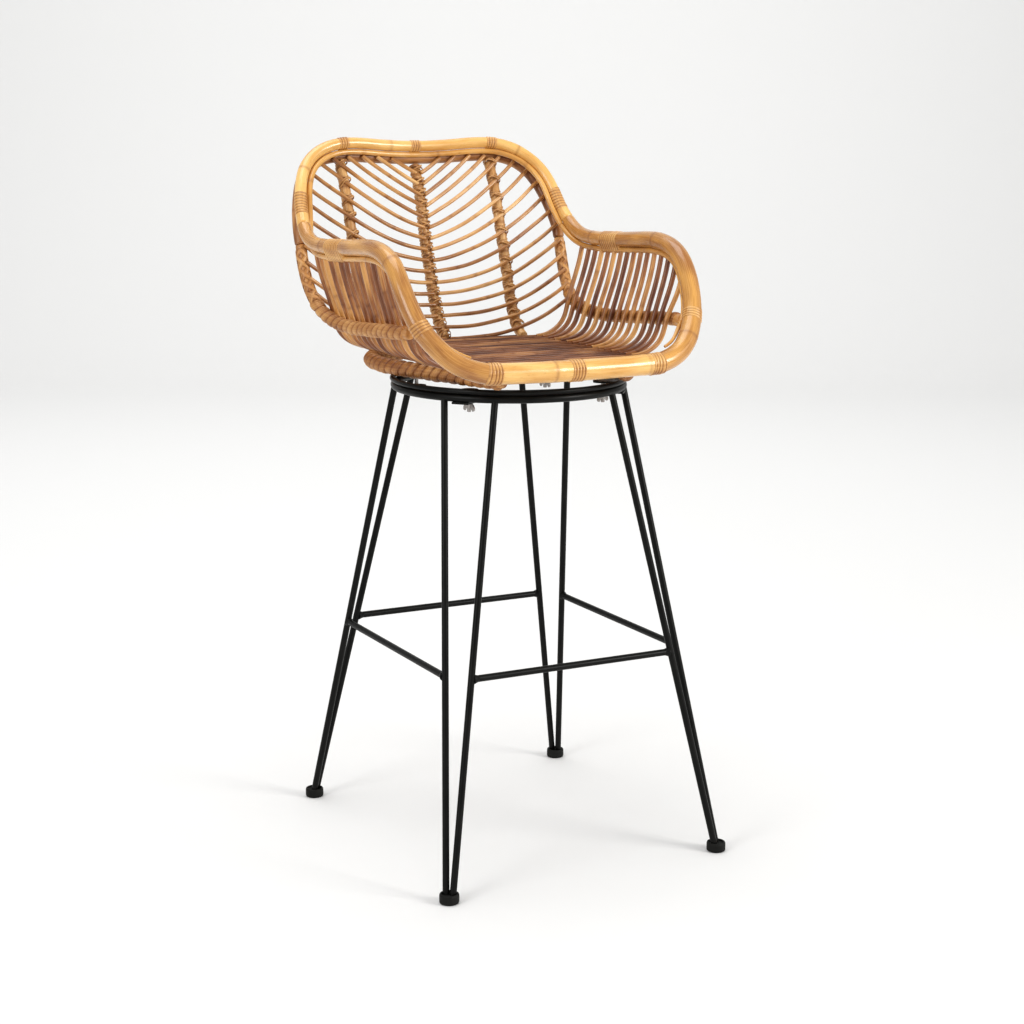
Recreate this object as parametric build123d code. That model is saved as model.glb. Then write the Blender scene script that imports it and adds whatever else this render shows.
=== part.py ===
"""Bar stool: a woven rattan bucket seat held by wing nuts on a rod base with footrests.

Millimetres, +Z up, the front of the seat faces -Y, the floor is Z = 0.
Everything is drawn about the centre of the four feet and moved by ORIGIN_SHIFT on export,
so that the exported origin is the centre of the whole stool's footprint box.
"""

import os
from math import cos, radians, sin

from build123d import *

# ------------------------------------------------------------------ driving dimensions
ORIGIN_SHIFT = -40.75

FOOT_X, FOOT_Y = 227.0, 256.0  # half spacing of the feet
FOOT_R, FOOT_H = 14.5, 15.0
FOOT_RECESS_R, FOOT_RECESS = 12.4, 3.0
ROD_R = 5.0  # leg rods and footrests
ROD_FOOT_Z = 4.0
FOOTREST_Z = 311.5

RING_R, RING_ROD_R, RING_Z = 174.0, 6.0, 704.0
RING_TOP_Z = 701.5  # the leg rods run this far up into the ring's underside
SIDE_ROD_DEG, FRONT_ROD_DEG = 30.0, 56.0  # where the two rods of a leg meet the ring

SEAT_RING_R, SEAT_RING_ROD_R, SEAT_RING_Z = 177.0, 4.0, 714.2
TAB_DEG, TAB_W, TAB_T, TAB_TIP_R = 39.0, 26.0, 3.0, 130.0
BOLT_CIRCLE_R = 145.0
BASE_TAB_Z, SEAT_TAB_Z = 694.95, 710.1  # undersides
BASE_TAB_OUT_R, SEAT_TAB_OUT_R = 178.0, 173.1  # under the base ring, and against the seat ring's inner side
STUD_R, STUD_END_Z = 2.95, 680.0
TAB_HOLE_R = 3.6
WASHER_R, WASHER_HOLE_R, WASHER_T = 9.0, 3.2, 1.6
NUT_BORE_R, NUT_HUB_R, NUT_H, NUT_SPAN, NUT_WING_T = 3.0, 5.6, 7.0, 25.0, 2.6
CONTACT = 0.05

RIM_BACK_R, RIM_SHOULDER_R, RIM_FRONT_R = 9.0, 10.5, 15.3
STRIP_R = 4.5
BACK_POLE_R = 9.0
SIDE_RAIL_R = 11.5
BASE_RAIL_R = 13.0
RIB_R = 8.5
RIB_X = 134.0
FLOOR_BAR_R = 8.0
FLOOR_BARS = (("left", -70.0, -193.0, 201.0), ("centre", 0.0, -194.4, 208.8), ("right", 70.0, -193.0, 201.0))
CANE_R = 3.2
GAP = 0.2

BACK_CANES, BACK_CANE_TOP_Z, BACK_CANE_PITCH = 16, 1012.0, 17.4
SIDE_CANES, SIDE_CANE_FIRST_Y, SIDE_CANE_PITCH = 16, 190.0, 20.2
FLOOR_CANE_Z = 749.6
FLOOR_CANE_X = 150.0
EDGE_CANES = ((-132.0, 156.0), (-151.0, 148.0), (-170.0, 138.0), (203.0, 120.0))  # y, half length

SIDES = {"left": -1, "right": 1}
CORNERS = {
    "front_left": (-1, -1),
    "front_right": (1, -1),
    "back_left": (-1, 1),
    "back_right": (1, 1),
}

# ------------------------------------------------------------------ right half of the seat's curves
# Each rim entry is a point on the rim and the direction of the woven panel from there.
RIM = [
    ((0, 333, 1055), (0, -0.15, -1)),
    ((70, 331, 1058), (0, -0.15, -1)),
    ((133, 324, 1060), (-0.1, -0.2, -1)),
    ((166, 318, 1053), (-0.4, -0.25, -0.9)),
    ((193, 308, 1038), (-0.65, -0.25, -0.7)),
    ((211, 295, 1019), (-0.8, -0.2, -0.55)),
    ((222, 281, 996), (-0.95, -0.1, -0.3)),
    ((229, 264, 965), (-0.95, 0, -0.25)),
    ((235, 240, 936), (-0.75, 0.1, -0.6)),
    ((238, 205, 916), (-0.3, 0.1, -0.95)),
    ((238.5, 160, 910), (-0.1, 0, -1)),
    ((238, 99, 911), (-0.05, 0, -1)),
    ((238, 20, 915), (-0.05, 0, -1)),
    ((238, -45, 916), (-0.05, 0.1, -1)),
    ((238, -82, 908), (-0.05, 0.5, -0.86)),
    ((237.5, -108, 893), (-0.05, 0.8, -0.6)),
    ((236.5, -128, 870), (-0.1, 0.93, -0.35)),
    ((232, -147, 840), (-0.15, 0.95, -0.25)),
    ((223, -164, 812), (-0.25, 0.95, -0.05)),
    ((207, -181, 787), (-0.5, 0.75, 0.4)),
    ((186, -194, 767), (-0.4, 0.6, 0.7)),
    ((163, -202, 756), (-0.2, 0.55, 0.8)),
    ((137, -207, 750), (0, 0.6, 0.8)),
]
RIM_SHOULDER, RIM_CORNER = 8, 22  # where the back, arm and front poles of the rim meet
FRONT_MID = (0, -209.5, 748)

BACK_POLE = [
    (0, 343, 1035),
    (70, 342, 1037),
    (133, 337, 1039),
    (162, 334, 1035),
    (187, 327, 1024),
    (204, 318, 1008),
    (216, 305, 986),
    (225, 289, 957),
    (230, 275, 930),
    (231, 264, 905),
]
SIDE_RAIL = [
    (231, 264, 905),
    (231, 255, 876),
    (229, 239, 843),
    (225, 213, 815),
    (222, 175, 799),
    (221, 115, 792),
    (224, 0, 796),
    (227, -62, 800),
    (225, -132, 803),
]
BASE_RAIL = [
    (102, -182, 734),
    (114, -145, 733),
    (126, -105, 733),
    (142, -57, 733),
    (157, -3, 733),
    (169, 50, 733),
    (171, 100, 733),
    (160, 155, 733),
    (134, 193, 733),
    (80, 214, 733),
    (0, 222, 733),
]
CENTRE_RIB = [
    (0, 338, 1024),
    (0, 315, 969),
    (0, 298, 905),
    (0, 276, 841),
    (0, 254, 786),
    (0, 237, 762),
    (0, 224, 750),
]
SIDE_RIB = [
    (RIB_X, 332, 1028),
    (RIB_X, 306, 971),
    (RIB_X, 285, 908),
    (RIB_X, 267, 853),
    (RIB_X, 243, 785),
    (RIB_X, 224, 760),
    (RIB_X, 206, 749),
]


# ------------------------------------------------------------------ helpers
def flip(points, side):
    """The same points on the stool's left (-1) or right (1)."""
    return [(x * side, y, z) for x, y, z in points]


def mirrored(points):
    """A right half, from the middle outwards, as one run from the left end to the right end."""
    return flip(points[:0:-1], -1) + list(points)


def path_through(points):
    return Line(*points) if len(points) == 2 else Spline(*points)


def disc(path, where, radius):
    return Plane(origin=path @ where, z_dir=path % where) * Circle(radius)


def pole(points, radius, end_radius=None):
    """A round pole along a smooth curve, tapering if its end has a radius of its own."""
    path = path_through(points)
    if end_radius is None:
        return sweep(disc(path, 0, radius), path=path)
    return sweep([disc(path, 0, radius), disc(path, 1, end_radius)], path=path, multisection=True)


def cane(start, middle, end):
    path = ThreePointArc(start, middle, end)
    return sweep(disc(path, 0, CANE_R), path=path)


def rod(start, end, radius):
    axis = Vector(*end) - Vector(*start)
    from_start = (Align.CENTER, Align.CENTER, Align.MIN)
    return Plane(origin=start, z_dir=axis) * Cylinder(radius, axis.length, align=from_start)


def along(points, value, by, want):
    """Coordinate `want` of a run of points where coordinate `by` has the given value."""
    run = sorted(points, key=lambda point: point[by])
    for low, high in zip(run, run[1:]):
        if value <= high[by]:
            share = (value - low[by]) / (high[by] - low[by])
            return low[want] + max(share, 0) * (high[want] - low[want])
    return run[-1][want]


def inward(index, reach):
    """A point at the given distance from the rim's centreline, towards the woven panel."""
    point, direction = RIM[index]
    return tuple(Vector(*point) + Vector(*direction).normalized() * reach)


def rim_radius(index):
    """The rim swells steadily from the shoulder to the front corner."""
    if index <= RIM_SHOULDER:
        return RIM_BACK_R + (RIM_SHOULDER_R - RIM_BACK_R) * index / RIM_SHOULDER
    share = (index - RIM_SHOULDER) / (RIM_CORNER - RIM_SHOULDER)
    return RIM_SHOULDER_R + (RIM_FRONT_R - RIM_SHOULDER_R) * share


def sleeve(points, index, length, radius, *cores):
    """A peel binding around the poles that pass through one point of a run."""
    before, here, after = (Vector(*points[i]) for i in (index - 1, index, index + 1))
    direction = (after - before).normalized()
    ends = (here - direction * length / 2, here + direction * length / 2)
    band = rod(tuple(ends[0]), tuple(ends[1]), radius)
    for core in cores:
        band -= core
    return band


parts = {}

# ------------------------------------------------------------------ rod base
base_ring = Pos(0, 0, RING_Z) * Rot(0, 0, 17) * Torus(RING_R, RING_ROD_R)
parts["base_ring"] = base_ring


def on_ring(degrees, corner):
    side, front = corner
    return (side * RING_R * cos(radians(degrees)), front * RING_R * sin(radians(degrees)), RING_TOP_Z)


leg_rods = {}
for name, corner in CORNERS.items():
    side_top = on_ring(SIDE_ROD_DEG, corner)
    front_top = on_ring(FRONT_ROD_DEG, corner)
    apart = Vector(side_top[0] - front_top[0], side_top[1] - front_top[1], 0).normalized()
    spread = apart * (ROD_R + CONTACT)
    foot = Vector(corner[0] * FOOT_X, corner[1] * FOOT_Y, ROD_FOOT_Z)
    leg_rods[name, "side"] = (tuple(foot + spread), side_top)
    leg_rods[name, "end"] = (tuple(foot - spread), front_top)
    pair = [rod(*leg_rods[name, which], ROD_R) for which in ("side", "end")]
    parts[f"leg_rod_{name}_side"] = pair[0]
    parts[f"leg_rod_{name}_end"] = pair[1]

    puck = Pos(foot.X, foot.Y, 0) * Cylinder(FOOT_R, FOOT_H, align=(Align.CENTER, Align.CENTER, Align.MIN))
    puck = fillet(puck.edges().group_by(Axis.Z)[0], 2.5)
    recess = Pos(foot.X, foot.Y, FOOT_H - FOOT_RECESS) * Cylinder(
        FOOT_RECESS_R, FOOT_RECESS + 1, align=(Align.CENTER, Align.CENTER, Align.MIN)
    )
    parts[f"foot_{name}"] = puck - recess - pair[0] - pair[1]


def rod_at(which, z):
    """Where a leg rod's centre is at a height."""
    start, end = (Vector(*point) for point in leg_rods[which])
    return tuple(start + (end - start) * ((z - start.Z) / (end.Z - start.Z)))


FOOTRESTS = {
    "footrest_front": (("front_left", "end"), ("front_right", "end")),
    "footrest_back": (("back_left", "end"), ("back_right", "end")),
    "footrest_left": (("front_left", "side"), ("back_left", "side")),
    "footrest_right": (("front_right", "side"), ("back_right", "side")),
}
for name, (one, other) in FOOTRESTS.items():
    bar = rod(rod_at(one, FOOTREST_Z), rod_at(other, FOOTREST_Z), ROD_R)
    parts[name] = bar - rod(*leg_rods[one], ROD_R) - rod(*leg_rods[other], ROD_R)

# ------------------------------------------------------------------ seat ring, tabs, studs, wing nuts
seat_ring = Pos(0, 0, SEAT_RING_Z) * Rot(0, 0, 17) * Torus(SEAT_RING_R, SEAT_RING_ROD_R)
parts["seat_ring"] = seat_ring


def tab(outer_r, z):
    """A flat tongue with a round tip, inside a ring and pointing at its middle."""
    tip_centre = TAB_TIP_R + TAB_W / 2
    tongue = Pos((tip_centre + outer_r) / 2, 0) * Rectangle(outer_r - tip_centre, TAB_W)
    tongue += Pos(tip_centre, 0) * Circle(TAB_W / 2)
    tongue &= Circle(outer_r)
    return Pos(0, 0, z) * extrude(tongue, TAB_T)


def wing_nut():
    """Hub and two drooping wings about the bolt axis, with the hub's bearing face at Z = 0."""
    hub = Pos(0, 0, -NUT_H / 2) * Cone(NUT_HUB_R - 1.0, NUT_HUB_R, NUT_H)
    half = NUT_SPAN / 2
    outline = Spline((2.5, -1.2), (7.0, -1.0), (half - 1.0, -5.0), (half, -9.5), (half - 3.2, -12.0))
    outline += Spline((half - 3.2, -12.0), (half - 5.6, -9.0), (2.5, -NUT_H + 0.4))
    outline += Line((2.5, -NUT_H + 0.4), (2.5, -1.2))
    wing = extrude(Plane.XZ * make_face(outline.edges()), NUT_WING_T / 2, both=True)
    nut = hub + wing + wing.rotate(Axis.Z, 180)
    return nut - Cylinder(NUT_BORE_R, 60)


seat_tabs, studs = [], []
for name, (side, front) in CORNERS.items():
    turn = TAB_DEG * side * front + (180 if side < 0 else 0)
    spin = Rot(0, 0, turn)
    bolt_xy = (BOLT_CIRCLE_R * cos(radians(turn)), BOLT_CIRCLE_R * sin(radians(turn)))
    hole = Pos(*bolt_xy, BASE_TAB_Z) * Cylinder(TAB_HOLE_R, 20)
    parts[f"base_tab_{name}"] = spin * tab(BASE_TAB_OUT_R, BASE_TAB_Z) - hole
    seat_tabs.append(spin * tab(SEAT_TAB_OUT_R, SEAT_TAB_Z))
    stud = Pos(*bolt_xy, STUD_END_Z) * Cylinder(
        STUD_R, SEAT_TAB_Z - STUD_END_Z, align=(Align.CENTER, Align.CENTER, Align.MIN)
    )
    studs.append(chamfer(stud.edges().group_by(Axis.Z)[0], 0.6))
    washer = Cylinder(WASHER_R, WASHER_T) - Cylinder(WASHER_HOLE_R, 10)
    parts[f"washer_{name}"] = Pos(*bolt_xy, BASE_TAB_Z - CONTACT - WASHER_T / 2) * washer
    nut_z = BASE_TAB_Z - 2 * CONTACT - WASHER_T
    parts[f"wing_nut_{name}"] = Pos(*bolt_xy, nut_z) * Rot(0, 0, turn + 62) * wing_nut()
parts["seat_tabs"] = Compound(children=seat_tabs)
parts["seat_studs"] = Compound(children=studs)

# ------------------------------------------------------------------ rattan rim
rim_points = [point for point, _ in RIM]
back_half = rim_points[: RIM_SHOULDER + 1]
arm_half = rim_points[RIM_SHOULDER : RIM_CORNER + 1]
rim_back = pole(mirrored(back_half), RIM_BACK_R)
rim_front = pole([flip([rim_points[RIM_CORNER]], -1)[0], FRONT_MID, rim_points[RIM_CORNER]], RIM_FRONT_R)
parts["rim_back_pole"] = rim_back
parts["rim_front_pole"] = rim_front

strip_back_half = [inward(i, rim_radius(i) + STRIP_R + GAP) for i in range(RIM_SHOULDER + 1)]
strip_arm_half = [inward(i, rim_radius(i) + STRIP_R + 2 * GAP) for i in range(RIM_SHOULDER, RIM_CORNER)]
parts["inner_strip_back"] = pole(mirrored(strip_back_half), STRIP_R)
arms, strips = {}, {}
for name, side in SIDES.items():
    arms[name] = pole(flip(arm_half, side), RIM_SHOULDER_R, RIM_FRONT_R)
    strips[name] = pole(flip(strip_arm_half, side), STRIP_R)
    parts[f"rim_arm_pole_{name}"] = arms[name]
    parts[f"inner_strip_arm_{name}"] = strips[name]

# ------------------------------------------------------------------ frame poles behind and under the canes
parts["back_frame_pole"] = pole(mirrored(BACK_POLE), BACK_POLE_R)
base_rail = pole(flip(BASE_RAIL[:-1], -1) + BASE_RAIL[::-1], BASE_RAIL_R)
parts["base_rail"] = base_rail
side_rails = {}
for name, side in SIDES.items():
    side_rails[name] = pole(flip(SIDE_RAIL, side), SIDE_RAIL_R)
    parts[f"side_rail_{name}"] = side_rails[name]
parts["rib_centre"] = pole(CENTRE_RIB, RIB_R) - base_rail
for name, side in SIDES.items():
    parts[f"rib_{name}"] = pole(flip(SIDE_RIB, side), RIB_R) - base_rail

floor_bar_z = FLOOR_CANE_Z - CANE_R - FLOOR_BAR_R - GAP
for name, x, front_y, back_y in FLOOR_BARS:
    parts[f"floor_bar_{name}"] = rod((x, front_y, floor_bar_z), (x, back_y, floor_bar_z), FLOOR_BAR_R)

# ------------------------------------------------------------------ canes
in_front = RIB_R + CANE_R + GAP
end_line = Spline((46, 343, 1036), *BACK_POLE[2:], *SIDE_RAIL[1:4])


def back_cane(i):
    """A cane from the centre rib, past the side rib, up to the outer frame. The lower canes sag more."""
    share = i / (BACK_CANES - 1)
    z = BACK_CANE_TOP_Z - BACK_CANE_PITCH * i
    tip = end_line @ share
    start = (CANE_R + 0.8, along(CENTRE_RIB, z, 2, 1) - in_front, z)
    end = (tip.X - 2, tip.Y - BACK_POLE_R - CANE_R + 0.6, tip.Z)
    crossing = (RIB_X - start[0]) / (end[0] - start[0])
    steps = (0, 0.5 * crossing, crossing, 0.5 + 0.5 * crossing) if crossing < 0.87 else (0, 0.5)
    points = []
    for u in steps:
        x = start[0] + (end[0] - start[0]) * u
        cane_z = z + (end[2] - z) * u ** (1.1 + 1.9 * share**2)
        centre_y, side_y = (along(rib, cane_z, 2, 1) for rib in (CENTRE_RIB, SIDE_RIB))
        y = centre_y + (side_y - centre_y) * (x / RIB_X) ** 2 - in_front
        if u > crossing:
            y = points[-1][1] * 0.58 + end[1] * 0.42
        points.append((x, y, cane_z))
    return points + [end]


def side_cane(i):
    """A cane from the arm's inner strip, down past the inside of the side rail, and in to the seat."""
    y = SIDE_CANE_FIRST_Y - SIDE_CANE_PITCH * i
    top_x, top_z = along(strip_arm_half[1:-3], y, 1, 0), along(strip_arm_half[1:-3], y, 1, 2)
    rail_x, rail_z = along(SIDE_RAIL, y, 1, 0), along(SIDE_RAIL, y, 1, 2)
    inner_x = rail_x - SIDE_RAIL_R - CANE_R - GAP
    points = [(top_x, y, top_z - 2), ((top_x + inner_x) / 2 + 2, y, (top_z + rail_z) / 2), (inner_x, y, rail_z)]
    reach, fall = inner_x - FLOOR_CANE_X, rail_z - FLOOR_CANE_Z - 1
    for degrees in (35, 65, 90):
        turn = radians(degrees)
        points.append((inner_x - reach * (1 - cos(turn)), y, rail_z - fall * sin(turn)))
    return points


for name, side in SIDES.items():
    parts[f"back_canes_{name}"] = Compound(
        children=[pole(flip(back_cane(i), side), CANE_R) for i in range(BACK_CANES)]
    )
    parts[f"side_canes_{name}"] = Compound(
        children=[pole(flip(side_cane(i), side), CANE_R) for i in range(SIDE_CANES)]
    )

floor = []
for i in range(SIDE_CANES):
    y = SIDE_CANE_FIRST_Y - SIDE_CANE_PITCH * i
    reach = FLOOR_CANE_X - 1
    floor.append(rod((-reach, y, FLOOR_CANE_Z), (reach, y, FLOOR_CANE_Z), CANE_R))
for y, reach in EDGE_CANES:
    floor.append(rod((-reach, y, FLOOR_CANE_Z), (reach, y, FLOOR_CANE_Z), CANE_R))
parts["seat_canes"] = Compound(children=floor)

# ------------------------------------------------------------------ peel bindings
strip_back = parts["inner_strip_back"]
bands = []
for name, side in SIDES.items():
    run = flip(rim_points, side)
    bands.append(sleeve(run, 2, 18, RIM_BACK_R + 1.4, rim_back, strip_back))
    bands.append(sleeve(run, 18, 20, rim_radius(18) + 1.8, arms[name], strips[name], side_rails[name]))
    corner = [(side * 134, -207.2, 749.6), (side * 123, -207.6, 749.2), (side * 112, -208, 748.9)]
    bands.append(sleeve(corner, 1, 20, RIM_FRONT_R + 1.2, rim_front))
bands.append(sleeve([(-9, 333, 1055), (0, 333, 1055), (9, 333, 1055)], 1, 18, RIM_BACK_R + 1.4, rim_back))
front_run = [(-9, *FRONT_MID[1:]), FRONT_MID, (9, *FRONT_MID[1:])]
bands.append(sleeve(front_run, 1, 22, RIM_FRONT_R + 1.6, rim_front, parts["floor_bar_centre"]))
parts["rim_bands"] = Compound(children=[solid for band in bands for solid in band.solids()])

wraps = []
for name, side in SIDES.items():
    wraps.append(sleeve(flip(rim_points, side), 7, 34, RIM_BACK_R + 2.0, rim_back, strip_back))
    top, low = RIM[11][0], inward(11, rim_radius(11) + STRIP_R + 2 * GAP)
    outer = Pos(0, top[2]) * Circle(rim_radius(11) + 2.2) + Pos(0, low[2]) * Circle(STRIP_R + 2.0)
    outer += Pos(0, (top[2] + low[2]) / 2) * Rectangle(2 * STRIP_R + 4.0, top[2] - low[2])
    across = Plane(origin=(side * top[0], top[1], 0), x_dir=(1, 0, 0), z_dir=(0, -1, 0))
    block = extrude(across * outer, 29, both=True)
    block = block - arms[name] - strips[name] - parts[f"side_canes_{name}"]
    parts[f"arm_binding_{name}"] = max(block.solids(), key=lambda solid: solid.volume)
parts["shoulder_wraps"] = Compound(children=[solid for wrap in wraps for solid in wrap.solids()])

# ------------------------------------------------------------------ export
os.makedirs("parts", exist_ok=True)
for name, shape in parts.items():
    shape = Pos(0, ORIGIN_SHIFT, 0) * shape
    shape.label = name
    export_step(shape, f"parts/{name}.step")
    box = shape.bounding_box()
    print(name, len(shape.solids()), [round(v, 1) for v in (*box.min, *box.max)])
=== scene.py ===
"""Bar stool: rattan bucket seat on a black rod base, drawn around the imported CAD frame."""

import math
import random

import bpy
import numpy as np
from mathutils import Matrix, Vector


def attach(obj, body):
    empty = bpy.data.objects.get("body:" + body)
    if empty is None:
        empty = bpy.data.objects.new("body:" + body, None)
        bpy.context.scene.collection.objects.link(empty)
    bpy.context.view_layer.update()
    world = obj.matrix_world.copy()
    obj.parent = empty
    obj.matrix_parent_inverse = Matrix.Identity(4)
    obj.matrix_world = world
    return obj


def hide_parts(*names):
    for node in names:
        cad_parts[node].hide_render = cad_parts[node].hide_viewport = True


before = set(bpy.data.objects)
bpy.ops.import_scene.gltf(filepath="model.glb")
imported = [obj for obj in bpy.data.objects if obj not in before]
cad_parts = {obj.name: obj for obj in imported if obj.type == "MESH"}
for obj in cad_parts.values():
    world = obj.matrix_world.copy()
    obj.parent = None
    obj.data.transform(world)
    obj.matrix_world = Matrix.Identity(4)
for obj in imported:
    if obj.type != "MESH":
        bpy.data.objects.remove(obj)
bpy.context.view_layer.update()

MM = 0.001
FOOT_CENTRE_Y = -40.75  # the middle of the four feet, in the row frame
rng = random.Random(7)  # tones, grain offsets and growth rings

# ------------------------------------------------------------------ the seat's curves, right half, in mm
RIM = [  # each a point on the rim's centre line and the way from there to the inner strip
    ((0, 333, 1055), (0, -0.15, -1)),
    ((70, 331, 1058), (0, -0.15, -1)),
    ((133, 324, 1060), (-0.1, -0.2, -1)),
    ((166, 318, 1053), (-0.4, -0.25, -0.9)),
    ((193, 308, 1038), (-0.65, -0.25, -0.7)),
    ((211, 295, 1019), (-0.8, -0.2, -0.55)),
    ((222, 281, 996), (-0.95, -0.1, -0.3)),
    ((229, 264, 965), (-0.95, 0, -0.25)),
    ((235, 240, 936), (-0.75, 0.1, -0.6)),
    ((238, 205, 916), (-0.3, 0.1, -0.95)),
    ((238.5, 160, 910), (-0.1, 0, -1)),
    ((238, 99, 911), (-0.05, 0, -1)),
    ((238, 20, 915), (-0.05, 0, -1)),
    ((238, -45, 916), (-0.05, 0.1, -1)),
    ((238, -82, 908), (-0.05, 0.5, -0.86)),
    ((237.5, -108, 893), (-0.05, 0.8, -0.6)),
    ((236.5, -128, 870), (-0.1, 0.93, -0.35)),
    ((232, -147, 840), (-0.15, 0.95, -0.25)),
    ((223, -164, 812), (-0.25, 0.95, -0.05)),
    ((207, -181, 787), (-0.5, 0.75, 0.4)),
    ((186, -194, 767), (-0.4, 0.6, 0.7)),
    ((163, -202, 756), (-0.2, 0.55, 0.8)),
    ((137, -207, 750), (0, 0.6, 0.8)),
]
SHOULDER, CORNER = 8, 22  # the points of RIM where the back, arm and front poles meet
BACK_BAND, SHOULDER_WRAP, ARM_BINDING, ARM_BAND = 2, 7, 11, 18  # the points of RIM where peel is wound
FRONT_MID = (0, -209.5, 748)
RIM_BACK_R, RIM_SHOULDER_R, RIM_FRONT_R = 9.0, 10.5, 15.3
STRIP_R, GAP = 4.5, 0.2
BACK_POLE = [
    (0, 343, 1035), (70, 342, 1037), (133, 337, 1039), (162, 334, 1035), (187, 327, 1024),
    (204, 318, 1008), (216, 305, 986), (225, 289, 957), (230, 275, 930), (231, 264, 905),
]
SIDE_RAIL = [
    (231, 264, 905), (231, 255, 876), (229, 239, 843), (225, 213, 815), (222, 175, 799),
    (221, 115, 792), (224, 0, 796), (227, -62, 800), (225, -132, 803),
]
BASE_RAIL = [
    (102, -182, 734), (114, -145, 733), (126, -105, 733), (142, -57, 733), (157, -3, 733), (169, 50, 733),
    (171, 100, 733), (160, 155, 733), (134, 193, 733), (80, 214, 733), (0, 222, 733),
]
CENTRE_RIB = [
    (0, 338, 1024), (0, 315, 969), (0, 298, 905), (0, 276, 841), (0, 254, 786), (0, 237, 762), (0, 224, 750),
]
RIB_X = 134.0
SIDE_RIB = [
    (RIB_X, 332, 1028), (RIB_X, 306, 971), (RIB_X, 285, 908), (RIB_X, 267, 853),
    (RIB_X, 243, 785), (RIB_X, 224, 760), (RIB_X, 206, 749),
]
BACK_POLE_R, SIDE_RAIL_R, BASE_RAIL_R, RIB_R, CANE_R = 9.0, 11.5, 13.0, 8.5, 3.2
PANEL_CANE_R = 3.8
STRAP_WIDTH, STRAP_THICK = 3.0, 1.0
BELT_DROP = 6.0  # the arm bindings' centre, below the arm pole's
FLOOR_BAR_R = 8.0
FLOOR_BARS = (  # name, x, y of the front end, y of the back end
    ("left", -70.0, -193.0, 201.0),
    ("centre", 0.0, -194.4, 208.8),
    ("right", 70.0, -193.0, 201.0),
)
BACK_CANES, BACK_CANE_TOP_Z, BACK_CANE_PITCH = 16, 1012.0, 17.4
SIDE_CANES, FIRST_Y, PITCH_Y = 16, 190.0, 20.2
FLOOR_Z, FLOOR_X = 749.6, 150.0
EDGE_CANES = ((-132.0, 156.0), (-151.0, 148.0), (-170.0, 138.0), (203.0, 120.0))  # y, half length
RING_R, RING_TOP_Z, ROD_R, FOOTREST_Z = 174.0, 701.5, 5.0, 311.5
FOOT_X, FOOT_Y, ROD_FOOT_Z = 227.0, 256.0, 4.0
ROD_ANGLES = {"side": 30.0, "end": 56.0}  # where a leg's two rods meet the ring, from the X axis
SIDES = {"left": -1, "right": 1}


# ------------------------------------------------------------------ curve tools
def arr(points):
    return np.array(points, float)


def flip(points, side):
    return arr(points) * (side, 1, 1)


def mirrored(points):
    """The whole curve from its right half, whose first point is on the middle plane."""
    return np.vstack([flip(points[:0:-1], -1), arr(points)])


def smooth(points, step=4.0):
    """A C2 cubic spline through the points, sampled at even steps of its length."""
    p = arr(points)
    if len(p) == 2:
        n = max(2, int(np.linalg.norm(p[1] - p[0]) / step) + 1)
        return p[0] + (p[1] - p[0]) * np.linspace(0, 1, n)[:, None]
    t = np.concatenate([[0], np.cumsum(np.linalg.norm(np.diff(p, axis=0), axis=1))])
    h = np.diff(t)
    n = len(p)
    system = np.zeros((n, n))
    right = np.zeros((n, 3))
    system[0, 0], system[0, 1], system[-1, -1], system[-1, -2] = 1, -1, 1, -1
    for i in range(1, n - 1):
        system[i, i - 1 : i + 2] = h[i - 1], 2 * (h[i - 1] + h[i]), h[i]
        right[i] = 6 * ((p[i + 1] - p[i]) / h[i] - (p[i] - p[i - 1]) / h[i - 1])
    bend = np.linalg.solve(system, right)
    fine = np.linspace(0, t[-1], max(24, int(t[-1] / 1.0)))
    k = np.clip(np.searchsorted(t, fine, side="right") - 1, 0, n - 2)
    a, b = (t[k + 1] - fine)[:, None], (fine - t[k])[:, None]
    hk = h[k][:, None]
    curve = (
        bend[k] * a**3 / (6 * hk)
        + bend[k + 1] * b**3 / (6 * hk)
        + (p[k] / hk - bend[k] * hk / 6) * a
        + (p[k + 1] / hk - bend[k + 1] * hk / 6) * b
    )
    return resample(curve, step)


def resample(curve, step):
    s = length_along(curve)
    want = np.linspace(0, s[-1], max(3, int(round(s[-1] / step)) + 1))
    return np.stack([np.interp(want, s, curve[:, i]) for i in range(3)], axis=1)


def length_along(curve):
    return np.concatenate([[0], np.cumsum(np.linalg.norm(np.diff(curve, axis=0), axis=1))])


def frames_of(curve):
    """Tangent, side and up of every point, carried along the curve without twist."""
    tangent = np.gradient(curve, axis=0)
    tangent /= np.linalg.norm(tangent, axis=1)[:, None]
    seed = arr((0, 0, 1)) if abs(tangent[0][2]) < 0.9 else arr((0, 1, 0))
    side = np.cross(tangent[0], seed)
    side /= np.linalg.norm(side)
    sides = []
    for t in tangent:
        side = side - t * (side @ t)
        side /= np.linalg.norm(side)
        sides.append(side)
    sides = np.array(sides)
    return tangent, sides, np.cross(tangent, sides)


def along(points, value, by, want):
    """Coordinate `want` of a run of points where its coordinate `by` has the value."""
    run = sorted(map(tuple, points), key=lambda point: point[by])
    for low, high in zip(run, run[1:]):
        if value <= high[by]:
            share = (value - low[by]) / (high[by] - low[by])
            return low[want] + max(share, 0) * (high[want] - low[want])
    return run[-1][want]


def inward(index, reach):
    """The point at a distance from the rim's centre line towards the inner strip."""
    point, direction = RIM[index]
    direction = arr(direction)
    return arr(point) + direction / np.linalg.norm(direction) * reach


def rim_radius(index):
    if index <= SHOULDER:
        return RIM_BACK_R + (RIM_SHOULDER_R - RIM_BACK_R) * index / SHOULDER
    return RIM_SHOULDER_R + (RIM_FRONT_R - RIM_SHOULDER_R) * (index - SHOULDER) / (CORNER - SHOULDER)


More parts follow.
